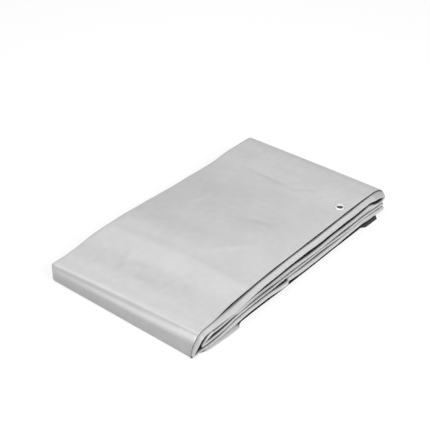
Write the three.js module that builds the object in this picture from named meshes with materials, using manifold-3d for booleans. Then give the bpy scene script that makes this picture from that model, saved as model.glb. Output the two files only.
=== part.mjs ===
// A coated tarpaulin folded for the shelf. The sheet is folded lengthwise into a strip of three plies,
// and the strip is halved crosswise and halved again, so that it lies in four passes of three plies.
// Units are millimetres, +Z is up, X runs along the pack, and the open edges of the plies face -Y.
import * as THREE from "three";
import { mergeVertices } from "three/addons/utils/BufferGeometryUtils.js";
import Module from "manifold-3d";

const wasm = await Module();
wasm.setup();

// Cloth
const SHEET = 1.2; // thickness of the coated cloth
const SEAM = 0.3; // gap between pieces

// Pack
const FRONT = -150; // side with the open edges
const BACK = 150; // side with the closed folds
const BACK_REACH = 5; // how far the folds at the back reach, along Y
const TAIL = 12; // how far the inner ply stops short of the back fold
const TAIL_GAP = 0.7; // air between the inner ply and the middle ply at the back

// Stretch of the hem that holds the eyelet, on the top pass
const HEM_WIDTH = 44;
const STRIP_START = 92;
const STRIP_END = 228;
const EYELET_AT = { x: 162, y: -121 };
const EYELET_BORE = 5.3;
const EYELET_BARREL = 6;
const EYELET_RIM = 8.5;
const EYELET_BACK = 7.8;
const RIM_HEIGHT = 1;
const BACK_THICKNESS = 0.5;

// Heights of the upper and lower face of each pass along the front of the pack, from the top pass down.
// under is the air below the lowest front fold, and lift the height of the back as a share of the front.
const STACK = [
  { x: -236, top: [31.6, 24.2, 16.2, 9.6], low: [25.4, 19.4, 11.2, 0], under: 1.5, lift: 1.05 },
  { x: -200, top: [33.2, 25.6, 17.4, 10.4], low: [26.8, 20.6, 12.0, 0], under: 1.5, lift: 1.04 },
  { x: -150, top: [39.4, 31.0, 20.6, 12.8], low: [32.0, 22.4, 14.6, 0], under: 2.5, lift: 1.04 },
  { x: -85, top: [43.6, 34.8, 24.6, 16.0], low: [35.6, 27.0, 18.0, 0], under: 7.0, lift: 1.05 },
  { x: -28, top: [45.6, 35.2, 24.4, 16.4], low: [37.6, 25.4, 18.2, 0], under: 5.0, lift: 0.99 },
  { x: 55, top: [46.0, 34.6, 22.6, 14.8], low: [38.2, 23.4, 16.2, 0], under: 3.4, lift: 0.94 },
  { x: 130, top: [46.8, 34.6, 22.6, 14.4], low: [38.4, 23.4, 15.9, 0], under: 3.4, lift: 0.91 },
  { x: 195, top: [47.6, 36.0, 22.6, 14.6], low: [38.6, 23.6, 16.0, 0], under: 3.6, lift: 0.97 },
  { x: 212, top: [47.4, 38.4, 22.6, 14.6], low: [39.8, 23.6, 16.0, 0], under: 5.0, lift: 0.985 },
  { x: 240, top: [46.4, 31.8, 22.0, 14.0], low: [33.0, 22.8, 15.4, 0], under: 5.0, lift: 1.0 },
];

// Where the hem edge and the front fold of each pass lie across the pack, from the top pass down.
const EDGES = [
  { x: -236, hem: [-139, -145, -144, -140], nose: [-150, -147, -147, -149] },
  { x: -222, hem: [-139, -146, -144, -142], nose: [-150, -147, -147, -149] },
  { x: -212, hem: [-139, -147, -145, -153], nose: [-150, -148, -147, -149] },
  { x: -152, hem: [-138, -147, -146, -155], nose: [-151, -149, -148, -149] },
  { x: -144, hem: [-138, -147, -146, -143], nose: [-151, -149, -148, -149] },
  { x: -85, hem: [-138, -146, -145, -142], nose: [-150, -149, -148, -150] },
  { x: -28, hem: [-138, -147, -146, -142], nose: [-150, -149, -149, -154] },
  { x: -22, hem: [-138, -147, -146, -142], nose: [-150, -149, -149, -149] },
  { x: 55, hem: [-138, -148, -146, -142], nose: [-150, -150, -148, -150] },
  { x: 130, hem: [-138, -147, -146, -142], nose: [-150, -149, -149, -149] },
  { x: 190, hem: [-138, -147, -146, -142], nose: [-150, -149, -149, -149] },
  { x: 196, hem: [-138, -147, -146, -150], nose: [-150, -149, -149, -149] },
  { x: 240, hem: [-138, -147, -146, -149], nose: [-149, -149, -148, -149] },
  { x: 246, hem: [-138, -147, -146, -142], nose: [-149, -149, -148, -149] },
];

// The passes from top to bottom. start and end are the straight stretch along X, back is the closed fold,
// hemUp says which way the hem ply faces, and slant moves the left end towards -X along the back.
// hemGap is the most air by the hem ply at the front; reach and square shape the front fold.
const PASSES = [
  { start: -214, end: 240, back: 149, hemUp: true, slant: -27, hemGap: 2.4, reach: 13, square: 2.2 },
  { start: -208, end: 240, back: 147, hemUp: false, slant: -20, hemGap: 0.6, reach: 8, square: 4 },
  { start: -226, end: 259, back: 148, hemUp: true, slant: 0, hemGap: 0.6, reach: 7, square: 4 },
  { start: -238, end: 261, back: 150, hemUp: false, slant: -3, hemGap: 7, reach: 9, square: 4 },
];
const [TOP, SECOND, THIRD, BOTTOM] = PASSES.keys();
const SLANT_ENDS = -60; // the slant fades out here

// The crosswise bends. reach is how far the outer face runs past the straight stretch, and above and below
// are the powers of its rounding over and under the middle, each at the front and at the back.
const BENDS = {
  left: {
    low: BOTTOM, high: TOP, side: -1, hemOutside: true, steps: 10,
    reach: [17, 14], above: [6, 8], below: [6, 6],
  },
  right: {
    low: SECOND, high: TOP, side: 1, hemOutside: true, steps: 8,
    reach: [26, 20], above: [2.4, 2.2], below: [2.4, 2.2],
  },
  inner: {
    low: THIRD, high: SECOND, side: -1, hemOutside: false, steps: 8,
    reach: [16, 12], above: [2, 2.4], below: [2, 2.4],
  },
};

// The front right corner is pressed down, by a share of the height over base.
const CORNER = { x: [224, 264], y: [-112, -150], base: 22, share: 0.3 };
// The lowest edge by that corner is lifted.
const LIFTED = { rise: [186, 198], fall: [238, 252], y: [-118, -150], height: 2.5, top: 14.6 };

const lerp = THREE.MathUtils.lerp;
const across = (y) => (y - FRONT) / (BACK - FRONT);

// A value read from each row of a table, at x, straight between the rows.
function at(table, x, read) {
  const next = table.findIndex((row) => row.x >= x);
  if (next === 0) return read(table[0]);
  if (next < 0) return read(table.at(-1));
  const [left, right] = [table[next - 1], table[next]];
  return lerp(read(left), read(right), (x - left.x) / (right.x - left.x));
}

// Reach and rise on a rounded turn, squarer as the power grows past 2.
function rounded(angle, square) {
  const power = 2 / square;
  const rise = Math.sign(Math.sin(angle)) * Math.abs(Math.sin(angle)) ** power;
  return [Math.cos(angle) ** power, rise];
}

// How far the pack rises or sinks from the front to a point across it, as a share of its height.
const liftAt = (x, y) => lerp(1, at(STACK, x, (row) => row.lift), across(y));

// Evenly spaced values over a number of spans, both ends included.
function spread(from, to, spans) {
  return Array.from({ length: spans + 1 }, (_, i) => lerp(from, to, i / spans));
}

// The section of the strip: pairs of points on the hem face and on the other face of the cloth, from the
// hem edge to the free edge of the inner ply. The middle ply slopes from under the hem ply at the front to
// the inner ply at the back. depth is counted from the inner face of the strip.
function stripSection({ hem, nose, back, reach, square }, height, air, hemWidth) {
  const spare = height - 3 * SHEET;
  const hemGap = Math.min(air, spare / 2);
  const noseGap = spare - hemGap;
  const backGap = spare - TAIL_GAP;
  const backTurn = back - BACK_REACH;
  const frontTurn = nose + reach;
  const pairs = [];
  const ply = (ys, depths, otherDepths) => ys.forEach((y) => {
    const share = (y - ys[0]) / (ys.at(-1) - ys[0]);
    const [depth, otherDepth] = [lerp(...depths, share), lerp(...otherDepths, share)];
    pairs.push([{ y, depth }, { y, depth: otherDepth }]);
  });
  const turn = (centre, outerReach, gap, level, outside, steps) => {
    for (let i = 1; i < steps; i++) {
      const [over, up] = rounded(Math.PI * (0.5 - i / steps), square);
      const innerReach = outerReach - Math.sign(outerReach) * SHEET;
      const outer = { y: centre + outerReach * over, depth: level + (gap / 2 + SHEET) * up };
      const inner = { y: centre + innerReach * over, depth: level + (gap / 2) * up };
      pairs.push(outside ? [outer, inner] : [inner, outer]);
    }
  };
  const middle = [SHEET + TAIL_GAP, SHEET + noseGap];
  const seam = hem + hemWidth;
  ply([hem, ...spread(seam, backTurn, 3)], [height, height], [height - SHEET, height - SHEET]);
  turn(backTurn, BACK_REACH, backGap, height - SHEET - backGap / 2, true, 5);
  ply([...spread(backTurn, seam, 3), frontTurn], middle, middle.map((depth) => depth + SHEET));
  turn(frontTurn, -reach, noseGap, SHEET + noseGap / 2, false, 6);
  ply([frontTurn, ...spread(seam, back - TAIL, 3)], [SHEET, SHEET], [0, 0]);
  return pairs;
}

// The section laid in a pass at x. Each point keeps how deep it lies in the strip, for the bends.
function passRow(pass, x, hemWidth = HEM_WIDTH) {
  const { hemUp, slant, back, start, hemGap, reach, square } = PASSES[pass];
  const high = at(STACK, x, (row) => row.top[pass]);
  const low = at(STACK, x, (row) => row.low[pass]);
  const hem = at(EDGES, x, (row) => row.hem[pass]);
  const nose = at(EDGES, x, (row) => row.nose[pass]);
  const air = pass === BOTTOM ? at(STACK, x, (row) => row.under) : hemGap;
  const fade = THREE.MathUtils.clamp((SLANT_ENDS - x) / (SLANT_ENDS - start), 0, 1);
  const place = ({ y, depth }) => {
    const z = (hemUp ? low + depth : high - depth) * liftAt(x, y);
    return { x: x + slant * fade * across(y), y, z, depth, cover: high - low - depth };
  };
  const section = stripSection({ hem, nose, back, reach, square }, high - low, air, hemWidth);
  return section.map((points) => points.map(place));
}

// The section part of the way round a bend, between the ends of the two passes it joins.
function bendRow({ low, high, side, hemOutside, reach, above, below }, angle) {
  const edge = side < 0 ? "start" : "end";
  const lowRow = passRow(low, PASSES[low][edge]);
  const highRow = passRow(high, PASSES[high][edge]);
  return lowRow.map((points, column) => points.map((from, face) => {
    const to = highRow[column][face];
    const width = across((from.y + to.y) / 2);
    const [bulge, rise] = rounded(angle, lerp(...(angle > 0 ? above : below), width));
    const share = (1 + rise) / 2;
    const inset = hemOutside ? lerp(from.cover, to.cover, share) : lerp(from.depth, to.depth, share);
    const x = lerp(from.x, to.x, share) + side * (lerp(...reach, width) - inset) * bulge;
    return { x, y: lerp(from.y, to.y, share), z: lerp(from.z, to.z, share) };
  }));
}

// 0 at the start of a range and 1 at its end, eased.
function ramp(value, [start, end]) {
  const share = THREE.MathUtils.clamp((value - start) / (end - start), 0, 1);
  return share * share * (3 - 2 * share);
}

// Presses the front right corner down and lifts the lowest edge by it.
function shaped({ x, y, z }) {
  const press = CORNER.share * ramp(x, CORNER.x) * ramp(y, CORNER.y);
  const pressed = z - Math.max(z - CORNER.base, 0) * press;
  const raise = LIFTED.height * ramp(x, LIFTED.rise) * (1 - ramp(x, LIFTED.fall)) * ramp(y, LIFTED.y);
  return { x, y, z: pressed + raise * Math.max(1 - z / LIFTED.top, 0) };
}

// Stations along X where a pass is cut into sections.
const STATIONS = [...new Set([...STACK, ...EDGES].map((row) => row.x))].sort((a, b) => a - b);
const stationsBetween = (from, to) => [from, ...STATIONS.filter((x) => x > from + 1 && x < to - 1), to];

function bendAngles(steps) {
  return Array.from({ length: steps - 1 }, (_, i) => Math.PI * ((i + 1) / steps - 0.5));
}

// Closes rows of point pairs into one sheet solid. isCloth says which cells between the rows are kept.
function sheetGeometry(rows, isCloth = () => true) {
  const columns = rows[0].length;
  const positions = rows.flat(2).map(shaped).flatMap(({ x, y, z }) => [x, y, z]);
  const index = [];
  const vertex = (row, column, face) => 2 * (row * columns + column) + face;
  const quad = (a, b, c, d) => index.push(a, b, c, a, c, d);
  const kept = (row, column) => {
    const inside = row >= 0 && column >= 0 && row < rows.length - 1 && column < columns - 1;
    return inside && isCloth(row, column);
  };
  const wall = (r0, c0, r1, c1) => {
    quad(vertex(r0, c0, 0), vertex(r0, c0, 1), vertex(r1, c1, 1), vertex(r1, c1, 0));
  };
  for (let r = 0; r < rows.length - 1; r++) {
    for (let c = 0; c < columns - 1; c++) {
      if (!kept(r, c)) continue;
      quad(vertex(r, c, 0), vertex(r + 1, c, 0), vertex(r + 1, c + 1, 0), vertex(r, c + 1, 0));
      quad(vertex(r, c, 1), vertex(r, c + 1, 1), vertex(r + 1, c + 1, 1), vertex(r + 1, c, 1));
      if (!kept(r, c - 1)) wall(r, c, r + 1, c);
      if (!kept(r, c + 1)) wall(r + 1, c + 1, r, c + 1);
      if (!kept(r - 1, c)) wall(r, c + 1, r, c);
      if (!kept(r + 1, c)) wall(r + 1, c, r + 1, c + 1);
    }
  }
  const geometry = new THREE.BufferGeometry();
  geometry.setAttribute("position", new THREE.Float32BufferAttribute(positions, 3));
  geometry.setIndex(index);
  return geometry.toNonIndexed();
}

// The whole sheet along its path: the bottom pass, round the left end, the top pass, the right bend, the
// second pass, the inner bend and the third pass. The hem strip's place on the top pass is left open.
function clothGeometry() {
  const notch = [STRIP_START - SEAM, STRIP_END + SEAM];
  const topStations = [
    ...stationsBetween(PASSES[TOP].start, notch[0]),
    ...stationsBetween(...notch).slice(1, -1),
    ...stationsBetween(notch[1], PASSES[TOP].end),
  ];
  const stations = (pass) => stationsBetween(PASSES[pass].start, PASSES[pass].end);
  const laid = (pass, xs) => xs.map((x) => ({ row: passRow(pass, x), pass, x }));
  const bent = (bend) => bendAngles(bend.steps).map((angle) => ({ row: bendRow(bend, angle) }));
  const path = [
    ...laid(BOTTOM, stations(BOTTOM).reverse()),
    ...bent(BENDS.left),
    ...laid(TOP, topStations),
    ...bent(BENDS.right).reverse(),
    ...laid(SECOND, stations(SECOND).reverse()),
    ...bent(BENDS.inner).reverse(),
    ...laid(THIRD, stations(THIRD)),
  ];
  const inNotch = ({ pass, x }) => pass === TOP && x >= notch[0] && x < notch[1];
  return sheetGeometry(path.map(({ row }) => row), (row, column) => column > 0 || !inNotch(path[row]));
}

function solidOf(geometry) {
  const bare = geometry.clone();
  bare.deleteAttribute("normal");
  bare.deleteAttribute("uv");
  const merged = mergeVertices(bare);
  const vertProperties = new Float32Array(merged.attributes.position.array);
  const triVerts = new Uint32Array(merged.index.array);
  return new wasm.Manifold(new wasm.Mesh({ numProp: 3, vertProperties, triVerts }));
}

function geometryOf(solid) {
  const mesh = solid.getMesh();
  const geometry = new THREE.BufferGeometry();
  geometry.setAttribute("position", new THREE.Float32BufferAttribute(mesh.vertProperties, 3));
  geometry.setIndex(new THREE.Uint32BufferAttribute(mesh.triVerts, 1));
  return geometry.toNonIndexed();
}

// The place of the eyelet on the hem strip: a point on its upper face and the face's normal.
function eyeletSeat() {
  const surface = (x, y) => new THREE.Vector3(x, y, at(STACK, x, (row) => row.top[TOP]) * liftAt(x, y));
  const { x, y } = EYELET_AT;
  const along = surface(x + EYELET_RIM, y).sub(surface(x - EYELET_RIM, y));
  const over = surface(x, y + EYELET_RIM).sub(surface(x, y - EYELET_RIM));
  return { point: surface(x, y), normal: along.cross(over).normalize() };
}

function seat(object) {
  const { point, normal } = eyeletSeat();
  object.position.copy(point);
  object.quaternion.setFromUnitVectors(new THREE.Vector3(0, 0, 1), normal);
  object.updateMatrix();
}

// The hem strip, one ply with the eyelet's hole through it.
function hemStripGeometry() {
  const width = HEM_WIDTH - SEAM;
  const rows = stationsBetween(STRIP_START, STRIP_END).map((x) => passRow(TOP, x, width).slice(0, 2));
  const hole = new THREE.Object3D();
  seat(hole);
  const cutter = new THREE.CylinderGeometry(EYELET_BARREL + SEAM, EYELET_BARREL + SEAM, 6 * SHEET, 24);
  cutter.rotateX(Math.PI / 2);
  cutter.applyMatrix4(hole.matrix);
  return geometryOf(solidOf(sheetGeometry(rows)).subtract(solidOf(cutter)));
}

// The eyelet: a rounded rim on the strip, a barrel through it and a flat flange rolled out behind it.
function eyeletGeometry() {
  const top = SEAM + RIM_HEIGHT;
  const under = -SHEET - SEAM;
  const profile = [
    [EYELET_BORE, under - BACK_THICKNESS],
    [EYELET_BACK, under - BACK_THICKNESS],
    [EYELET_BACK, under],
    [EYELET_BARREL, under],
    [EYELET_BARREL, SEAM],
    [EYELET_RIM, SEAM],
    [EYELET_RIM - 0.2, top - 0.4],
    [EYELET_RIM - 0.8, top],
    [EYELET_BORE + 0.9, top],
    [EYELET_BORE + 0.25, top - 0.4],
    [EYELET_BORE, top - 0.9],
    [EYELET_BORE, under - BACK_THICKNESS],
  ];
  const lathe = new THREE.LatheGeometry(profile.map(([r, z]) => new THREE.Vector2(r, z)), 24);
  return lathe.rotateX(Math.PI / 2);
}

function named(name, geometry, finish) {
  const mesh = new THREE.Mesh(geometry, new THREE.MeshStandardMaterial(finish));
  mesh.name = name;
  return mesh;
}

const CLOTH_FINISH = { color: 0xc5c5c7, roughness: 0.7, metalness: 0 };
const METAL_FINISH = { color: 0xdcdddd, roughness: 0.35, metalness: 1 };

const tarp = new THREE.Group();
tarp.add(named("tarp_cloth", clothGeometry(), CLOTH_FINISH));
tarp.add(named("hem_strip", hemStripGeometry(), CLOTH_FINISH));
const eyelet = named("eyelet", eyeletGeometry(), METAL_FINISH);
seat(eyelet);
tarp.add(eyelet);

// The pack stands on z = 0, centred on the origin.
const box = new THREE.Box3().setFromObject(tarp);
const centre = box.getCenter(new THREE.Vector3());
tarp.position.set(-centre.x, -centre.y, -box.min.z);

export default tarp;
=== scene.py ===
import math

import bpy
import numpy as np
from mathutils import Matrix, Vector


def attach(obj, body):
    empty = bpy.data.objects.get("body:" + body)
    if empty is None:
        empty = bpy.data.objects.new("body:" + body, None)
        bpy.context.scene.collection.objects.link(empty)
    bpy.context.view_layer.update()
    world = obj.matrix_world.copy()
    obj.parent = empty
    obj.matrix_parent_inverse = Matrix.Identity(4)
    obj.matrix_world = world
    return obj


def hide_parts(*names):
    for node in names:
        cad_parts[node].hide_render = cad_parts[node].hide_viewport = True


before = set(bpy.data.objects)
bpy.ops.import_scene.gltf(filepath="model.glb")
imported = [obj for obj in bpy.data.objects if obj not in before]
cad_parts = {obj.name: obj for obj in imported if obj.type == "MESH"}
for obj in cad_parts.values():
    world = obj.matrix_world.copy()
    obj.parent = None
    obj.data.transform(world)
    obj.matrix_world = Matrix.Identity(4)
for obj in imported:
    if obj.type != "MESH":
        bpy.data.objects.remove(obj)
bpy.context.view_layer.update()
mm = 0.001

print("stage 1: fold tables")

# All fold sizes are in mm, in the folding board's own x and y. The pack's box is centred on boardCentre.
boardCentre = (5.545, -2.562)

tarp = {
    "ply": 1.2,  # room that one ply takes in the stack
    "plies": 3,  # in each pass
    "thick": 0.7,  # the cloth itself
    "front": -150.0,
    "back": 150.0,
    "hemTurn": 1.0,  # reach of the hem's turned edge
    "flapGap": 0.15,  # air between the hem and the flap turned under it
    "hemGap": (0.9, 0.6, 0.6),  # most air by the hem ply at the front, in the upper passes from the top down
    "tailGap": 0.7,  # air over the inner ply at the back
    "nose": (13.0, 8.0, 7.0, 9.0),  # reach of the front folds, from the top pass down
    "foldSquare": (2.2, 4.0, 4.0, 4.0),  # how square the folds of each pass are, 2 for round
    "sag": 0.4,  # share of a front fold's height that its inner ply gives behind the fold
    "sagStart": 0.05,  # share of the inner ply over which the sag sets in
    "backNose": 5.0,  # reach of the back folds
    "tail": 12.0,  # the inner ply stops this far short of the back fold
    "slantEnds": -60.0,  # the slant of the left ends dies out here
    "wander": {"nose": (0.35, 1.0), "hem": (0.12, 5.0), "back": (0.4, 9.0)},  # unevenness and its phase
}

# faces of the four passes along the front, from the top pass down, the air under the lowest front fold,
# and the height share at the back
stackRows = [
    {"x": -236, "top": [31.6, 23.8, 12.6, 5.0], "low": [26.8, 15.6, 6.4, 0], "under": 0.4, "lift": 1.15},
    {"x": -200, "top": [33.2, 25.4, 14.6, 6.6], "low": [27.8, 17.2, 8.2, 0], "under": 0.8, "lift": 1.10},
    {"x": -150, "top": [39.4, 31.0, 20.6, 12.8], "low": [32.0, 22.4, 14.6, 0], "under": 2.5, "lift": 1.14},
    {"x": -85, "top": [43.6, 32.6, 22.6, 15.4], "low": [35.8, 26.4, 17.4, 0], "under": 7.0, "lift": 1.10},
    {"x": -28, "top": [45.6, 34.0, 23.2, 15.6], "low": [37.8, 26.0, 17.6, 0], "under": 5.0, "lift": 0.99},
    {"x": 55, "top": [46.0, 33.6, 22.2, 14.4], "low": [38.2, 24.0, 16.4, 0], "under": 3.4, "lift": 0.94},
    {"x": 130, "top": [46.8, 33.4, 22.2, 14.0], "low": [38.4, 24.0, 16.0, 0], "under": 3.4, "lift": 0.91},
    {"x": 195, "top": [47.6, 34.8, 22.6, 14.6], "low": [38.6, 23.6, 16.0, 0], "under": 3.6, "lift": 0.97},
    {"x": 212, "top": [47.4, 36.6, 22.0, 14.2], "low": [37.8, 23.0, 15.4, 0], "under": 1.6, "lift": 0.985},
    {"x": 240, "top": [46.4, 28.6, 19.0, 12.0], "low": [29.6, 19.8, 13.0, 0], "under": 1.0, "lift": 1.035},
    {"x": 258, "top": [46.4, 28.6, 19.0, 11.6], "low": [29.6, 19.8, 12.6, 0], "under": 0.4, "lift": 1.035},
]

# hem edge and front fold of each pass across the pack, from the top pass down
edgeRows = [
    {"x": -236, "hem": [-139, -137, -136, -144.5], "nose": [-146, -145, -145, -147]},
    {"x": -226, "hem": [-139, -137, -136, -150.5], "nose": [-147, -146, -146, -147]},
    {"x": -212, "hem": [-139, -138, -137, -153], "nose": [-148, -147, -147, -148]},
    {"x": -152, "hem": [-138, -145, -144, -155], "nose": [-151, -149, -148, -149]},
    {"x": -144, "hem": [-138, -147, -146, -147], "nose": [-151, -149, -148, -149]},
    {"x": -85, "hem": [-138, -146, -145, -147], "nose": [-150, -149, -148, -150]},
    {"x": -28, "hem": [-138, -147, -146, -148], "nose": [-150, -149, -149, -154]},
    {"x": -22, "hem": [-138, -147, -146, -148], "nose": [-150, -149, -149, -149]},
    {"x": 55, "hem": [-138, -148, -146, -148], "nose": [-150, -150, -148, -150]},
    {"x": 130, "hem": [-138, -147, -146, -148], "nose": [-150, -149, -149, -149]},
    {"x": 192, "hem": [-138, -147, -146, -148], "nose": [-150, -149, -149, -149]},
    {"x": 199, "hem": [-138, -147, -146, -154], "nose": [-150, -149, -149, -149]},
    {"x": 236, "hem": [-138, -147, -146, -154.5], "nose": [-149, -149, -148, -149]},
    {"x": 243, "hem": [-138, -147, -146, -142], "nose": [-149, -149, -148, -150]},
]

# straight stretch of each pass, its back fold, the way its hem ply faces, the slant of its left end,
# and how far apart its sections lie
passes = [
    {"start": -214, "end": 240, "back": 149, "hemUp": True, "slant": -27, "step": 4.5},
    {"start": -205, "end": 240, "back": 147, "hemUp": False, "slant": -20, "step": 9},
    {"start": -227, "end": 262, "back": 148, "hemUp": True, "slant": 0, "step": 9},
    {"start": -238, "end": 261, "back": 150, "hemUp": False, "slant": -3, "step": 7},
]
topPass, secondPass, thirdPass, bottomPass = range(4)

# crosswise bends: reach past the straight stretch and squareness of the upper and lower half, at the front
# and at the back, how far the front fold comes out to the hem, and the share of the rise over which
# the edges shift across to those of the upper pass
bends = {
    "left": {
        "low": bottomPass, "high": topPass, "side": -1, "hemOutside": True, "steps": 34,
        "reach": (17.5, 14), "square": (3.2, 8.0), "squareLow": (6.0, 6.0), "flush": 2.0, "settle": 0.4,
    },
    "right": {
        "low": secondPass, "high": topPass, "side": 1, "hemOutside": True, "steps": 18,
        "reach": (29, 20), "square": (2.0, 3.4), "squareLow": (2.4, 2.6), "flush": 1.5, "settle": 1.0,
    },
    "inner": {
        "low": thirdPass, "high": secondPass, "side": -1, "hemOutside": False, "steps": 14,
        "reach": (8.5, 9), "square": (3.0, 2.4), "squareLow": (2.2, 2.4), "flush": 0.0, "settle": 1.0,
    },
}
# where across the pack a front fold comes out to the hem, and how deep in the strip that goes
flushEdge = {"across": (-140, -145), "inside": 12.0}


def smoothColumn(rows, x, key, number=None):  # a monotone curve through one column of a table
    xs = np.array([row["x"] for row in rows], float)
    ys = np.array([row[key] if number is None else row[key][number] for row in rows], float)
    run = np.diff(xs)
    grade = np.diff(ys) / run
    before, after = grade[:-1], grade[1:]
    same = before * after > 0
    total = np.where(same, before + after, 1.0)
    slope = np.zeros_like(ys)
    slope[1:-1] = np.where(same, 2 * before * after / total, 0.0)
    k = np.clip(np.searchsorted(xs, x) - 1, 0, len(xs) - 2)
    t = np.clip((x - xs[k]) / run[k], 0, 1)
    left = ys[k] * (1 + 2 * t) + slope[k] * run[k] * t
    right = ys[k + 1] * (3 - 2 * t) - slope[k + 1] * run[k] * (1 - t)
    return left * (1 - t) ** 2 + right * t ** 2


def acrossShare(y):  # 0 at the front, 1 at the back
    return (y - tarp["front"]) / (tarp["back"] - tarp["front"])


def mix(a, b, share):
    return a + (b - a) * share


def ramp(value, start, stop):  # 0 at start, 1 at stop, eased
    t = np.clip((value - start) / (stop - start), 0, 1)
    return t * t * (3 - 2 * t)


def spread(start, stop, count):
    return np.linspace(start, stop, count)


print("stage 2: folded sheet")

eyeletSpot = (162.0, -121.0)
eyeletMesh = {"clear": 14.0, "reach": 13.0, "count": 11}  # the closer sections round the eyelet
eyeletHole = {"cut": 5.9, "radius": 6.4, "floor": 43.0}  # faces within the cut go, and none below the floor

# stations across the strip: mm from the hem edge on the flap turned under and on the hem, shares further on
flapStations = [36, 20, 13, 9, 6, 3, 0]
hemStations = [0, 2.5, 5, 8, 11, 13.5, 16, 18.5, 21, 24, 28, 32, 36, 40, 44]
middleStations = [0, 0.08, 0.17, 0.26, 0.36, 0.46, 0.56, 0.66, 0.75, 0.83, 0.89, 0.93, 0.96, 0.98, 0.99, 1]
innerStations = [0, 0.02, 0.05, 0.1, 0.16, 0.24, 0.33, 0.43, 0.54, 0.66, 0.78, 0.9, 1]
hemTurnColumns, hemTurnAngle = 5, 60  # round the hem's turned edge
plySpans = 48  # spans across the rest of the hem ply
backColumns, noseColumns = 10, 16  # round the back fold and the front fold

# first column of each stretch across the strip
turnStart = len(flapStations)
hemStart = turnStart + hemTurnColumns
hemCrown = hemStart - 2  # where the turned edge comes round to the outer face
backStart = hemStart + len(hemStations) - 1 + plySpans
middleStart = backStart + backColumns
noseStart = middleStart + len(middleStations)
innerStart = noseStart + noseColumns

wanderWaves = [(17, 1.0, 1.0), (41, 0.7, 2.3), (8.5, 0.4, 4.1)]  # mm a radian, share and phase


def wander(name, number, x):  # slow unevenness along a fold
    amount, phase = tarp["wander"][name]
    phase += number
    return amount * sum(share * np.sin(x / length + turn * phase) for length, share, turn in wanderWaves)


def roundTurn(count, square):  # reach and rise round a fold, from its upper root to its lower one
    power = 2 / square
    places = []
    for angle in np.radians(spread(90, -90, count + 2)[1:-1]):
        lean = math.copysign(abs(math.sin(angle)) ** power, math.sin(angle))
        places.append((math.cos(angle) ** power, (1 + lean) / 2))
    return places


def section(number, hemEdge, nose, back, height, air):
    # y and depth of the middle of the cloth, from the hem flap to the free edge of the inner ply
    ply, square = tarp["ply"], tarp["foldSquare"][number]
    noseReach, backReach, turnReach = tarp["nose"][number], tarp["backNose"], tarp["hemTurn"]
    backTurn, frontTurn = back - backReach, nose + noseReach
    hemRound, plyStart = hemEdge + turnReach, hemEdge + hemStations[-1]
    hemGap = np.minimum(air, (height - tarp["plies"] * ply) / 2)
    upper = height - tarp["thick"] / 2
    flap = upper - tarp["thick"] - tarp["flapGap"]
    frontLevel = height - 1.5 * ply - hemGap  # of the middle ply
    backLevel = 1.5 * ply + tarp["tailGap"]
    lowest = ply / 2
    columns = [(hemRound + station, flap) for station in flapStations]
    for angle in np.radians(spread(-hemTurnAngle, hemTurnAngle, hemTurnColumns)):
        columns.append((hemRound - turnReach * math.cos(angle), mix(flap, upper, (1 + math.sin(angle)) / 2)))
    columns += [(hemEdge + station, upper) for station in hemStations[1:]]
    columns += [(mix(plyStart, backTurn, share), upper) for share in spread(0, 1, plySpans + 1)[1:]]
    for reach, rise in roundTurn(backColumns, square):
        columns.append((backTurn + backReach * reach, mix(backLevel, upper, rise)))
    for share in middleStations:
        columns.append((mix(backTurn, frontTurn, share), mix(backLevel, frontLevel, share)))
    for reach, rise in roundTurn(noseColumns, square):
        columns.append((frontTurn - noseReach * reach, mix(lowest, frontLevel, rise)))
    for share in innerStations:
        sag = tarp["sag"] * (frontLevel - lowest) * min(1, share / tarp["sagStart"]) * (1 - share) ** 2
        columns.append((mix(frontTurn, back - tarp["tail"], share), lowest + sag))
    return [np.stack([np.broadcast_to(column[k], height.shape) for column in columns], 1) for k in (0, 1)]


def layPass(number, xs):
    # places of a pass's sections, with the depth and cover of each point in the strip
    spec = passes[number]
    high = smoothColumn(stackRows, xs, "top", number)
    low = smoothColumn(stackRows, xs, "low", number)
    hemEdge = smoothColumn(edgeRows, xs, "hem", number) + wander("hem", number, xs)
    nose = smoothColumn(edgeRows, xs, "nose", number) + wander("nose", number, xs)
    back = spec["back"] + wander("back", number, xs)
    air = smoothColumn(stackRows, xs, "under") if number == bottomPass else tarp["hemGap"][number]
    height = high - low
    y, depth = section(number, hemEdge, nose, back, height, air)
    share = acrossShare(y)
    fade = np.clip((tarp["slantEnds"] - xs) / (tarp["slantEnds"] - spec["start"]), 0, 1)
    x = xs[:, None] + spec["slant"] * fade[:, None] * share
    z = low[:, None] + depth if spec["hemUp"] else high[:, None] - depth
    lift = mix(1.0, smoothColumn(stackRows, xs, "lift")[:, None], share)
    return np.stack([x, y, z * lift], 2), depth, height[:, None] - depth


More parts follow.
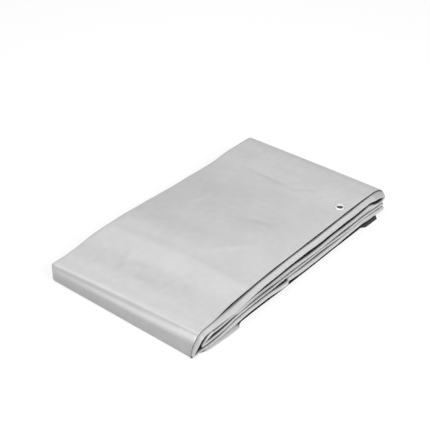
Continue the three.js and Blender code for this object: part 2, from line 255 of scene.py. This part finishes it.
def layBend(bend):  # rows round a crosswise bend, from its lower pass to its upper one
    end = "start" if bend["side"] < 0 else "end"
    low, lowDepth, lowCover = layPass(bend["low"], np.array([passes[bend["low"]][end]], float))
    high, highDepth, highCover = layPass(bend["high"], np.array([passes[bend["high"]][end]], float))
    low, high = low[0], high[0]
    lowInset, highInset = (lowCover[0], highCover[0]) if bend["hemOutside"] else (lowDepth[0], highDepth[0])
    share = acrossShare((low[:, 1] + high[:, 1]) / 2)
    reach = mix(*bend["reach"], share)
    rows = []
    for step in range(1, bend["steps"]):
        angle = math.pi * (step / bend["steps"] - 0.5)
        power = 2 / mix(*bend["square" if angle > 0 else "squareLow"], share)
        up = (1 + np.sign(angle) * abs(math.sin(angle)) ** power) / 2
        spot = mix(low, high, up[:, None])
        inset = mix(lowInset, highInset, up)
        flush = bend["flush"] * ramp(spot[:, 1], *flushEdge["across"])
        inset -= flush * (1 - inset / flushEdge["inside"])
        spot[:, 0] += bend["side"] * (reach - inset) * math.cos(angle) ** power
        spot[:, 1] = mix(low[:, 1], high[:, 1], np.clip(up / bend["settle"], 0, 1))
        rows.append(spot)
    return np.array(rows)


def stations(number):
    spec = passes[number]
    return spread(spec["start"], spec["end"], round((spec["end"] - spec["start"]) / spec["step"]) + 1)


def topStations():  # closer together round the eyelet
    xs = stations(topPass)
    away = xs[abs(xs - eyeletSpot[0]) > eyeletMesh["clear"]]
    near = eyeletSpot[0] + spread(-eyeletMesh["reach"], eyeletMesh["reach"], eyeletMesh["count"])
    return np.sort(np.concatenate([away, near]))


def foldedStrip():  # from the free end under the pack to the free end inside it
    return {
        "bottom": layPass(bottomPass, stations(bottomPass)[::-1])[0],
        "left": layBend(bends["left"]),
        "top": layPass(topPass, topStations())[0],
        "right": layBend(bends["right"])[::-1],
        "second": layPass(secondPass, stations(secondPass)[::-1])[0],
        "inner": layBend(bends["inner"])[::-1],
        "third": layPass(thirdPass, stations(thirdPass))[0],
    }


def eyeletDistance(x, y):
    return np.hypot(x - eyeletSpot[0], y - eyeletSpot[1])


# creases and dents of the top panel: where each runs, its half width and its depth (a ridge is below zero)
creases = [
    {"from": (-143, 76), "to": (-212, 53), "width": 5, "depth": 0.35},
    {"from": (-183, 54), "to": (-161, 10), "width": 4, "depth": 0.30},
    {"from": (-182, -63), "to": (-149, -58), "width": 3.5, "depth": 0.28},
    {"from": (-197, -30), "to": (-177, -27), "width": 3, "depth": 0.22},
    {"from": (-217, 95), "to": (-184, 103), "width": 4, "depth": 0.25},
    {"from": (-197, 35), "to": (-191, -12), "width": 5, "depth": 0.25},
    {"from": (-80, -24), "to": (-8, -86), "width": 5, "depth": -0.25},
    {"from": (167, 89), "to": (160, -22), "width": 5, "depth": 0.30},
    {"from": (157, -19), "to": (182, -61), "width": 4, "depth": 0.22},
    {"from": (181, 118), "to": (217, 99), "width": 3, "depth": 0.25},
    {"from": (3, 94), "to": (50, 80), "width": 5, "depth": -0.22},
    {"from": (31, -8), "to": (55, -74), "width": 5, "depth": 0.22},
]
panelLook = {
    "creaseGain": 1.5,  # deepens all the creases
    "creaseEnds": 0.25,  # share of its depth that a crease keeps at its ends
    "creasePaintedLight": 0.5,  # painted light: raised relief is painted paler, creases and dents darker
    "bendLine": [(-105, -140), (-104, -3), (-110, 80), (-123, 150)],  # where the top starts to fall away
    "groove": (0.4, 8.0),  # depth and half width along that line
    "levelPaintedShade": -0.2,  # painted shade on the level part beyond the line
    "levelSoft": 8.0,
    "levelFade": (60.0, 200.0),
    "fadeBack": 20.0,  # the relief dies out over this at the back, at the ends and round the eyelet
    "fadeEnds": 25.0,
    "fadeEyelet": (10.0, 24.0),
}
ripples = [  # height, then mm a radian along x and along y and the phase of two waves
    (0.12, (23, 61, 0.6), (-90, 37, 0.0)),
    (0.10, (14, -33, 2.1), (70, 19, 1.0)),
]


def creaseRelief(x, y):  # height that the creases add to the top panel
    relief = np.zeros_like(x)
    for crease in creases:
        a, b = np.array(crease["from"], float), np.array(crease["to"], float)
        along = b - a
        share = np.clip(((x - a[0]) * along[0] + (y - a[1]) * along[1]) / (along @ along), 0, 1)
        distance = np.hypot(x - a[0] - share * along[0], y - a[1] - share * along[1])
        fade = np.clip(4 * share * (1 - share), panelLook["creaseEnds"], 1)
        relief -= crease["depth"] * fade * np.exp(-(distance / crease["width"]) ** 2)
    return panelLook["creaseGain"] * relief


def pressPanel(top):  # presses creases, ripples and the bend line into the top panel, and returns its painted light and shade
    panel = top[:, :backStart]
    x, y = panel[:, :, 0], panel[:, :, 1]
    lineX, lineY = zip(*panelLook["bendLine"])
    past = x - np.interp(y, lineY, lineX)
    depth, width = panelLook["groove"]
    relief = creaseRelief(x, y) - depth * np.exp(-(past / width) ** 2)
    for height, *waves in ripples:
        relief += height * np.prod([np.sin(x / a + y / b + phase) for a, b, phase in waves], 0)
    near, far = panelLook["fadeEyelet"]
    relief *= np.clip((tarp["back"] - y) / panelLook["fadeBack"], 0, 1)
    relief *= np.clip((x - x[:1]) / panelLook["fadeEnds"], 0, 1)
    relief *= np.clip((x[-1:] - x) / panelLook["fadeEnds"], 0, 1)
    relief *= np.clip((eyeletDistance(x, y) - near) / (far - near), 0, 1)
    panel[:, :, 2] += relief
    level = ramp(past, -panelLook["levelSoft"], panelLook["levelSoft"])
    level *= 1 - ramp(x, *panelLook["levelFade"])
    return panelLook["creasePaintedLight"] * relief + panelLook["levelPaintedShade"] * level


# share of its height over the base that the front right corner loses, and where
cornerTuck = {"along": (232, 264), "across": (-137, -152), "base": 22.0, "share": 0.20}
# lift of the lowest edge by that corner, where it sets in and dies out, and the height that it leaves alone
frontLift = {
    "rise": (186, 198), "drop": (238, 252), "across": (-118, -146), "fall": (-147.5, -153),
    "height": 0.8, "top": 14.6,
}


def shapePack(points):  # presses the front right corner down and lifts the lowest edge under it
    x, y, z = points[..., 0], points[..., 1], points[..., 2]
    tuck = cornerTuck["share"] * ramp(x, *cornerTuck["along"]) * ramp(y, *cornerTuck["across"])
    points[..., 2] = np.where(z > cornerTuck["base"], z - (z - cornerTuck["base"]) * tuck, z)
    raised = frontLift["height"] * ramp(x, *frontLift["rise"]) * (1 - ramp(x, *frontLift["drop"]))
    raised *= ramp(y, *frontLift["across"]) * (1 - ramp(y, *frontLift["fall"]))
    points[..., 2] += raised * np.clip(1 - z / frontLift["top"], 0, 1)
    return points


# top of the left end's upright face, at the front and at the back, and the painted shade that darkens the
# face
endFace = {"level": (20.5, 19.5), "soft": 1.8, "tone": -0.35}
# ridges and troughs along the left end, by mm along the cloth from the top of that face, with painted
# highlights on the ridges and painted shade in the troughs, at the front and at the back
endRidges = [
    {"at": -1.5, "width": 2.4, "height": -0.3, "tone": (0, 0)},
    {"at": 4.0, "width": 4.6, "height": 0.7, "tone": (1.15, 1.7)},
    {"at": 10.5, "width": 2.4, "height": -0.3, "tone": (-0.15, 0)},
    {"at": 16.0, "width": 3.2, "height": 0.35, "tone": (0.35, 0.9)},
    {"at": 28.0, "width": 7.0, "height": -0.3, "tone": (-0.1, -0.1)},
]


def raiseRidges(panel):  # raises the ridges out along the hem ply's own face, and paints their highlights and shade
    step = np.linalg.norm(np.diff(panel, axis=0), axis=2)
    length = np.concatenate([np.zeros((1, panel.shape[1])), np.cumsum(step, 0)])
    face = np.cross(np.gradient(panel, axis=0), np.gradient(panel, axis=1))
    face /= np.linalg.norm(face, axis=2)[..., None]
    bendRows = bends["left"]["steps"] - 1
    share = acrossShare(panel[bendRows // 2, :, 1])
    level = mix(*endFace["level"], share)
    start = [np.interp(z, panel[:bendRows, i, 2], length[:bendRows, i]) for i, z in enumerate(level)]
    run = length - np.array(start)
    tone = endFace["tone"] * (1 - ramp(run, -endFace["soft"], endFace["soft"]))
    for ridge in endRidges:
        swell = np.exp(-((run - ridge["at"]) / ridge["width"]) ** 2)
        panel += face * (ridge["height"] * swell)[..., None]
        tone += mix(*ridge["tone"], share) * swell
    return tone


# painted shade across the front folds, darkest at their roots in the gaps, from the root by the hem ply to
# the root by the inner ply
paintedFoldShade = {
    "top": [0.9, 0.12, 0, 0, 0, 0, 0, 0, 0, 0.05, 0.15, 0.3, 0.5, 0.75, 1, 1],
    "second": [1, 0.9, 0.6, 0.3, 0.1, 0, 0, 0, 0.1, 0.25, 0.45, 0.7, 0.9, 1, 1, 1],
    "lower": [1, 0.9, 0.6, 0.25, 0, 0, 0, 0, 0, 0, 0, 0.1, 0.3, 0.6, 0.9, 1],
}
paintedFoldShadeOf = {"top": "top", "left": "top", "second": "second"}  # the others have the lower one
paintedStackShade = {
    "middlePly": (0.3, 1.0),  # painted shade along the middle ply, from the back fold to the front fold
    "innerPly": (1.0, 0.3),  # painted shade along the inner ply, from the front fold to the free edge
    "flapEdge": 2,  # columns at the flap's free edge that keep full painted shade
    "lineColumns": 2,  # columns of the painted shade that draws the hem line
    "lineShare": 0.45,  # that painted shade thins to this share out to the left
    "lineAlong": (-205, -105),
    "hemEdge": 0.85,  # painted shade on the lower half of the top hem's edge, darkening the hem line
    "eyelet": 0.2,  # at most this painted shade on the ply that shows through the eyelet
    "eyeletReach": 14.0,
    "setBack": -150.0,  # painted shade on the bottom hem where it ends behind this line, under the lowest front fold
    "hungHemPaintedShade": 0.95,  # and painted shade, standing for a dark gap, where it hangs at the right
    "hungAlong": (194, 244),
    "freeEnd": (2.0, 16.0),  # painted shade fades out towards the free ends over this stretch
}


def paintedNoseShade(name, rows):
    if name == "right":  # from the top fold round to the second
        turn = spread(0, 1, rows)[:, None]
        return mix(np.array(paintedFoldShade["top"]), np.array(paintedFoldShade["second"]), turn)
    return paintedFoldShade[paintedFoldShadeOf.get(name, "lower")]


def paintShadeOnStrip(name, points):  # painted shade: 1 on plies inside the stack, at the fold roots and along the hem line, 0 on the faces and ends that show
    x, y = points[:, :, 0], points[:, :, 1]
    hemLine = slice(noseStart, noseStart + paintedStackShade["lineColumns"])
    outside = name in ("top", "left", "right", "bottom")
    shown = backStart if outside else hemStart + 1  # the whole hem ply, or its flap and turned edge alone
    paintedShade = np.ones(x.shape)
    paintedShade[:, paintedStackShade["flapEdge"]:shown] = 0
    paintedShade[:, backStart:middleStart] = 0
    paintedShade[:, middleStart:noseStart] = mix(*paintedStackShade["middlePly"], np.array(middleStations))
    paintedShade[:, noseStart:innerStart] = paintedNoseShade(name, len(points))
    paintedShade[:, innerStart:] = mix(*paintedStackShade["innerPly"], np.array(innerStations))
    # the painted shade of the hem line thins out round the left bend and to the left on the top
    if name == "left":
        paintedShade[:, hemLine] *= mix(1, paintedStackShade["lineShare"], spread(0, 1, len(points)))[:, None]
    if name == "top":
        paintedShade[:, hemLine] *= mix(paintedStackShade["lineShare"], 1, ramp(x[:, hemLine], *paintedStackShade["lineAlong"]))
    # painted shade on the turned edge of the top hem
    if name in ("top", "left"):
        paintedShade[:, turnStart:hemCrown] = paintedStackShade["hemEdge"]
    # less painted shade on the ply that shows through the eyelet
    if name == "top":
        seen = eyeletDistance(x, y) < paintedStackShade["eyeletReach"]
        paintedShade[seen] = np.minimum(paintedShade[seen], paintedStackShade["eyelet"])
    # painted shade on the bottom hem where it lies set back under the lowest fold, and a darker painted
    # patch where it hangs at the right
    if name == "bottom":
        start, end = paintedStackShade["hungAlong"]
        paintedShade[y[:, turnStart] > paintedStackShade["setBack"], :hemCrown] = 1
        paintedShade[(x[:, 0] > start) & (x[:, 0] < end), :hemCrown] = paintedStackShade["hungHemPaintedShade"]
    if name in ("bottom", "third"):
        light, dark = paintedStackShade["freeEnd"]
        paintedShade *= ramp(x, x.max() - light, x.max() - dark)
    return paintedShade


paintedLightTone = {
    "lowHem": (0.6, -140, -152),  # painted light on the bottom hem to the left of this stretch, where it lies in the shade of the folds above
    "foldEnd": (-0.7, 226, 238),  # painted shade on the top front fold to the right of this stretch, where it turns away from the light
}


def cutEyeletHole(points, faces):  # drops the faces inside the hole and draws their edge onto a circle
    middle = points[faces].mean(1)
    inside = eyeletDistance(middle[:, 0], middle[:, 1]) < eyeletHole["cut"]
    inside &= middle[:, 2] > eyeletHole["floor"]
    rim = np.intersect1d(faces[inside], faces[~inside])
    spoke = points[rim, :2] - eyeletSpot
    points[rim, :2] = eyeletSpot + spoke / np.hypot(*spoke.T)[:, None] * eyeletHole["radius"]
    return faces[~inside]


def pathLength(points):  # running length along a row of points
    return np.concatenate([[0], np.cumsum(np.linalg.norm(np.diff(points, axis=0), axis=1))])


def shapeSheet():  # the grid of points of the folded sheet, with its painted light and its painted shade
    strip = foldedStrip()
    ends = np.cumsum([len(points) for points in strip.values()])
    rowsOf = {name: slice(end - len(strip[name]), end) for name, end in zip(strip, ends)}
    panelPaintedLight = pressPanel(strip["top"])
    grid = shapePack(np.concatenate(list(strip.values())))
    paintedLight = np.zeros(grid.shape[:2])
    leftEnd = (slice(rowsOf["left"].start, rowsOf["top"].stop), slice(hemCrown, backStart))
    paintedLight[leftEnd] = raiseRidges(grid[leftEnd])
    paintedLight[rowsOf["top"], :backStart] += panelPaintedLight
    lowHem = (rowsOf["bottom"], slice(0, hemStart))
    topFold = (slice(rowsOf["top"].start, rowsOf["right"].stop), slice(noseStart, innerStart))
    for place, (tone, start, stop) in ((lowHem, paintedLightTone["lowHem"]), (topFold, paintedLightTone["foldEnd"])):
        paintedLight[place] += tone * ramp(grid[place][..., 0], start, stop)
    paintedShade = np.concatenate([paintShadeOnStrip(name, points) for name, points in strip.items()])
    return grid, paintedLight, paintedShade


def buildSheet():
    grid, paintedLight, paintedShade = shapeSheet()
    rows, columns, _ = grid.shape
    along, over = pathLength(grid[:, columns // 2]), pathLength(grid[rows // 2])
    index = np.arange(rows * columns).reshape(rows, columns)
    faces = np.stack([index[:-1, :-1], index[1:, :-1], index[1:, 1:], index[:-1, 1:]], -1).reshape(-1, 4)
    points = grid.reshape(-1, 3)
    faces = cutEyeletHole(points, faces)
    points[:, :2] -= boardCentre
    mesh = bpy.data.meshes.new("tarp_sheet")
    mesh.from_pydata((points * mm).tolist(), [], faces.tolist())
    flat = np.stack(np.meshgrid(along, over, indexing="ij"), -1).reshape(-1, 2) * mm
    layer = mesh.uv_layers.new(name="cutSheet")
    corner = np.zeros(len(mesh.loops), np.int32)
    mesh.loops.foreach_get("vertex_index", corner)
    layer.data.foreach_set("uv", flat[corner].ravel())
    # the inner attribute carries the painted shade, the other one the painted light and shade of ridges,
    # creases and faces
    for name, values in (("inner", paintedShade), ("paintedLight", paintedLight)):
        mesh.attributes.new(name, "FLOAT", "POINT").data.foreach_set("value", values.ravel())
    mesh.polygons.foreach_set("use_smooth", [True] * len(mesh.polygons))
    piece = bpy.data.objects.new("tarp_sheet", mesh)
    bpy.context.scene.collection.objects.link(piece)
    body = piece.modifiers.new("cloth", "SOLIDIFY")
    body.thickness = tarp["thick"] * mm
    body.offset = 0
    print("  sheet of", rows, "by", columns, "points, flat", round(over[-1]), "by", round(along[-1]), "mm")
    return piece, (over[-1] * mm, along[-1] * mm)


sheetPiece, flatSize = buildSheet()
bpy.ops.object.select_all(action="DESELECT")
bpy.context.view_layer.objects.active = sheetPiece
sheetPiece.select_set(True)
bpy.ops.object.mode_set(mode="EDIT")
bpy.ops.mesh.select_all(action="SELECT")
bpy.ops.mesh.delete_loose()  # points left inside the eyelet hole
bpy.ops.object.mode_set(mode="OBJECT")
bpy.ops.object.modifier_apply(modifier="cloth")
print("  faces", len(sheetPiece.data.polygons))

print("stage 3: eyelet")

eyelet = {
    "bore": 5.3,
    "wall": 0.45,
    "sides": 48,
    "barrel": (0.2, -1.6),  # top and bottom of the straight wall, over the cloth
    # outline of the rim from the bore outwards: reach and height over the cloth
    "rim": [(5.5, 0.55), (5.9, 0.85), (6.6, 1.0), (7.4, 0.95), (8.1, 0.7), (8.5, 0.3), (8.45, 0.08)],
    # outline of the clinched back, under the hem
    "clinch": [(5.5, -1.85), (6.2, -1.95), (7.8, -1.9)],
    "smooth": 40,  # degrees
    "tiltSpan": 4.0,  # the cloth's tilt is read this far to each side
}
ringSlack = 1e-6  # points this close in height are one ring, in m


def hemFace(x, y):  # height of the top of the hem ply
    at = np.array([x])
    lift = mix(1.0, smoothColumn(stackRows, at, "lift"), acrossShare(y))
    return (smoothColumn(stackRows, at, "top", topPass) * lift)[0]


def stretchRing(reachNow, reach, rise):  # draws a new ring out of the chosen one
    bpy.ops.mesh.extrude_region_move()
    share = reach / reachNow
    bpy.ops.transform.resize(value=(share, share, 1), center_override=(0, 0, 0))
    bpy.ops.transform.translate(value=(0, 0, rise * mm))


def chooseRing(piece, pick):  # the highest ring for max, the lowest for min
    bpy.ops.mesh.select_all(action="DESELECT")
    bpy.ops.object.mode_set(mode="OBJECT")
    level = pick(vertex.co.z for vertex in piece.data.vertices)
    for vertex in piece.data.vertices:
        vertex.select = abs(vertex.co.z - level) < ringSlack
    bpy.ops.object.mode_set(mode="EDIT")


def buildEyelet():
    top, bottom = eyelet["barrel"]
    bpy.ops.object.select_all(action="DESELECT")
    bpy.ops.mesh.primitive_cylinder_add(vertices=eyelet["sides"], radius=eyelet["bore"] * mm,
                                        depth=(top - bottom) * mm, end_fill_type="NOTHING",
                                        location=(0, 0, 0))
    piece = bpy.context.object
    piece.name = piece.data.name = "eyelet_ring"
    for vertex in piece.data.vertices:
        vertex.co.z += (top + bottom) / 2 * mm
    bpy.ops.object.mode_set(mode="EDIT")
    bpy.ops.mesh.select_mode(type="VERT")
    for pick, level, outline in ((max, top, eyelet["rim"]), (min, bottom, eyelet["clinch"])):
        chooseRing(piece, pick)
        reachNow = eyelet["bore"]
        for reach, height in outline:
            stretchRing(reachNow, reach, height - level)
            reachNow, level = reach, height
    bpy.ops.mesh.select_all(action="SELECT")
    bpy.ops.mesh.normals_make_consistent(inside=False)
    bpy.ops.object.mode_set(mode="OBJECT")
    wall = piece.modifiers.new("wall", "SOLIDIFY")
    wall.thickness = eyelet["wall"] * mm
    wall.offset = 0
    bpy.ops.object.modifier_apply(modifier=wall.name)
    bpy.ops.object.shade_smooth_by_angle(angle=math.radians(eyelet["smooth"]))
    (x, y), span = eyeletSpot, eyelet["tiltSpan"]
    tiltX = (hemFace(x - span, y) - hemFace(x + span, y)) / (2 * span)
    tiltY = (hemFace(x, y - span) - hemFace(x, y + span)) / (2 * span)
    piece.rotation_euler = Vector((tiltX, tiltY, 1)).to_track_quat("Z", "Y").to_euler()
    piece.location = ((x - boardCentre[0]) * mm, (y - boardCentre[1]) * mm, hemFace(x, y) * mm)
    bpy.ops.object.transform_apply(location=True, rotation=True, scale=True)
    return piece


eyeletPiece = buildEyelet()

print("stage 4: materials")

clothLook = {
    "colour": (0.41, 0.407, 0.41, 1),
    "pale": (0.48, 0.477, 0.48, 1),
    "deep": (0.02, 0.02, 0.017, 1),  # colour of the painted shade inside the stack and in the gaps
    "roughness": 0.3,
    "paintedLight": 2.0,  # gain of the painted light: how far painted highlights pale the cloth and painted shade dulls it
    "tape": 0.0026,  # width of a woven tape, in m
    "cloud": {"Scale": 80, "Detail": 4},  # faint blotches
    "crumple": {"Scale": 38, "Detail": 5},  # fine wrinkles
    "weaveBump": {"Strength": 0.1, "Distance": 0.0002},
    "crumpleBump": {"Strength": 0.3, "Distance": 0.0015},
}
metalLook = {
    "colour": (0.86, 0.865, 0.87, 1),
    "roughness": {"To Min": 0.42, "To Max": 0.55},
    "grain": {"Scale": 900},
}
mixFrom, mixTo, mixResult = 6, 7, 2  # colour sockets of a Mix node


def setInputs(node, values):
    for key, value in values.items():
        node.inputs[key].default_value = value


def newMaterial(name, inputs):
    material = bpy.data.materials.new(name)
    material.use_nodes = True
    tree = material.node_tree
    shader = next(node for node in tree.nodes if node.type == "BSDF_PRINCIPLED")
    setInputs(shader, inputs)
    return material, tree, shader


def addNode(tree, kind, inputs=None, **settings):
    node = tree.nodes.new(kind)
    for key, value in settings.items():
        setattr(node, key, value)
    setInputs(node, inputs or {})
    return node


def addNoise(tree, inputs):  # noise on the piece's own coordinates
    place = addNode(tree, "ShaderNodeTexCoord")
    noise = addNode(tree, "ShaderNodeTexNoise", inputs)
    tree.links.new(place.outputs["Object"], noise.inputs["Vector"])
    return noise.outputs["Fac"]


def addWave(tree, along):  # a sine with one half wave to each tape
    turn = addNode(tree, "ShaderNodeMath", {1: math.pi / clothLook["tape"]}, operation="MULTIPLY")
    wave = addNode(tree, "ShaderNodeMath", operation="SINE")
    tree.links.new(along, turn.inputs[0])
    tree.links.new(turn.outputs[0], wave.inputs[0])
    return wave.outputs[0]


def addBump(tree, inputs, height):
    bump = addNode(tree, "ShaderNodeBump", inputs)
    tree.links.new(height, bump.inputs["Height"])
    return bump


def makeCloth():
    material, tree, shader = newMaterial("coated_cloth", {"Roughness": clothLook["roughness"]})
    # painted light and shade from the attribute, with faint random blotches added, move the colour towards
    # pale or past it to darker
    paintedLightInput = addNode(tree, "ShaderNodeAttribute", attribute_name="paintedLight")
    paintedLightAndBlotch = addNode(tree, "ShaderNodeMath", {1: clothLook["paintedLight"]}, operation="MULTIPLY_ADD")
    tones = {mixFrom: clothLook["colour"], mixTo: clothLook["pale"]}
    tone = addNode(tree, "ShaderNodeMix", tones, data_type="RGBA", clamp_factor=False)
    tree.links.new(paintedLightInput.outputs["Fac"], paintedLightAndBlotch.inputs[0])
    tree.links.new(addNoise(tree, clothLook["cloud"]), paintedLightAndBlotch.inputs[2])
    tree.links.new(paintedLightAndBlotch.outputs[0], tone.inputs[0])
    # the painted shade from the inner attribute darkens the base colour
    inner = addNode(tree, "ShaderNodeAttribute", attribute_name="inner")
    paintedShade = addNode(tree, "ShaderNodeMix", {mixTo: clothLook["deep"]}, data_type="RGBA")
    tree.links.new(inner.outputs["Fac"], paintedShade.inputs[0])
    tree.links.new(tone.outputs[mixResult], paintedShade.inputs[mixFrom])
    tree.links.new(paintedShade.outputs[mixResult], shader.inputs["Base Color"])
    sheet = addNode(tree, "ShaderNodeUVMap", uv_map="cutSheet")
    split = addNode(tree, "ShaderNodeSeparateXYZ")
    weave = addNode(tree, "ShaderNodeMath", operation="MULTIPLY")
    tree.links.new(sheet.outputs[0], split.inputs[0])
    for number in (0, 1):  # tapes along and across the sheet
        tree.links.new(addWave(tree, split.outputs[number]), weave.inputs[number])
    fine = addBump(tree, clothLook["weaveBump"], weave.outputs[0])
    wrinkle = addBump(tree, clothLook["crumpleBump"], addNoise(tree, clothLook["crumple"]))
    tree.links.new(fine.outputs[0], wrinkle.inputs["Normal"])
    tree.links.new(wrinkle.outputs[0], shader.inputs["Normal"])
    return material


def makeMetal():
    material, tree, shader = newMaterial("eyelet_metal", {"Base Color": metalLook["colour"], "Metallic": 1})
    dulled = addNode(tree, "ShaderNodeMapRange", metalLook["roughness"])
    tree.links.new(addNoise(tree, metalLook["grain"]), dulled.inputs["Value"])
    tree.links.new(dulled.outputs[0], shader.inputs["Roughness"])
    return material


sheetPiece.data.materials.clear()
sheetPiece.data.materials.append(makeCloth())
eyeletPiece.data.materials.clear()
eyeletPiece.data.materials.append(makeMetal())

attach(sheetPiece, "root")
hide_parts("tarp_cloth", "hem_strip")
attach(eyeletPiece, "root")
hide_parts("eyelet")

print("stage 5: stage, light and camera")

studio = {
    "floorSize": 40.0,  # m
    "floorLevel": -0.0002,  # just under the pack
    "floor": {  # a pale floor that glows a little, so that it stays even
        "Base Color": (0.25, 0.25, 0.25, 1),
        "Roughness": 0.9,
        "Emission Color": (1, 1, 1, 1),
        "Emission Strength": 0.72,
    },
    "ambient": {"Color": (1, 1, 1, 1), "Strength": 0.36},
}
softboxes = [  # places and sizes in m, power in W
    {"name": "behind", "place": (1.17, 1.02, 1.56), "size": (1.8, 0.62), "power": 10.0},
    {"name": "front", "place": (-0.3, -1.7, 1.2), "size": (1.2, 1.0), "power": 37.0},
    {"name": "left", "place": (-0.85, 0.3, 2.0), "size": (1.2, 1.0), "power": 20.0},
]
photoCamera = {
    "place": (-1113.0, -906.0, 1023.0),  # mm, on the folding board
    "pitch": 33.8,
    "heading": 39.8,
    "lens": 87.07,
    "sensor": 36,
}


def makeFloor():
    bpy.ops.object.select_all(action="DESELECT")
    bpy.ops.mesh.primitive_plane_add(size=studio["floorSize"], location=(0, 0, studio["floorLevel"]))
    floor = bpy.context.object
    floor.name = "floor"
    material, _, _ = newMaterial("pale_floor", studio["floor"])
    floor.data.materials.append(material)


def makeLight():
    world = bpy.data.worlds.new("studio")
    bpy.context.scene.world = world
    world.use_nodes = True
    setInputs(world.node_tree.nodes["Background"], studio["ambient"])
    for box in softboxes:
        light = bpy.data.lights.new(box["name"], "AREA")
        light.energy = box["power"]
        light.shape = "RECTANGLE"
        light.size, light.size_y = box["size"]
        lamp = bpy.data.objects.new(box["name"], light)
        lamp.location = box["place"]
        lamp.rotation_euler = Vector(box["place"]).to_track_quat("Z", "Y").to_euler()  # faces the pack
        bpy.context.scene.collection.objects.link(lamp)
    bpy.context.scene.view_settings.view_transform = "Standard"


def makeCamera():
    camera = bpy.data.cameras.new("camera")
    camera.lens = photoCamera["lens"]
    camera.sensor_width = photoCamera["sensor"]
    piece = bpy.data.objects.new("camera", camera)
    x, y, z = photoCamera["place"]
    piece.location = ((x - boardCentre[0]) * mm, (y - boardCentre[1]) * mm, z * mm)
    pitch, heading = math.radians(photoCamera["pitch"]), math.radians(photoCamera["heading"])
    level = math.cos(pitch)
    forward = Vector((level * math.cos(heading), level * math.sin(heading), -math.sin(pitch)))
    piece.rotation_euler = forward.to_track_quat("-Z", "Y").to_euler()
    bpy.context.scene.collection.objects.link(piece)
    bpy.context.scene.camera = piece


makeFloor()
makeLight()
makeCamera()
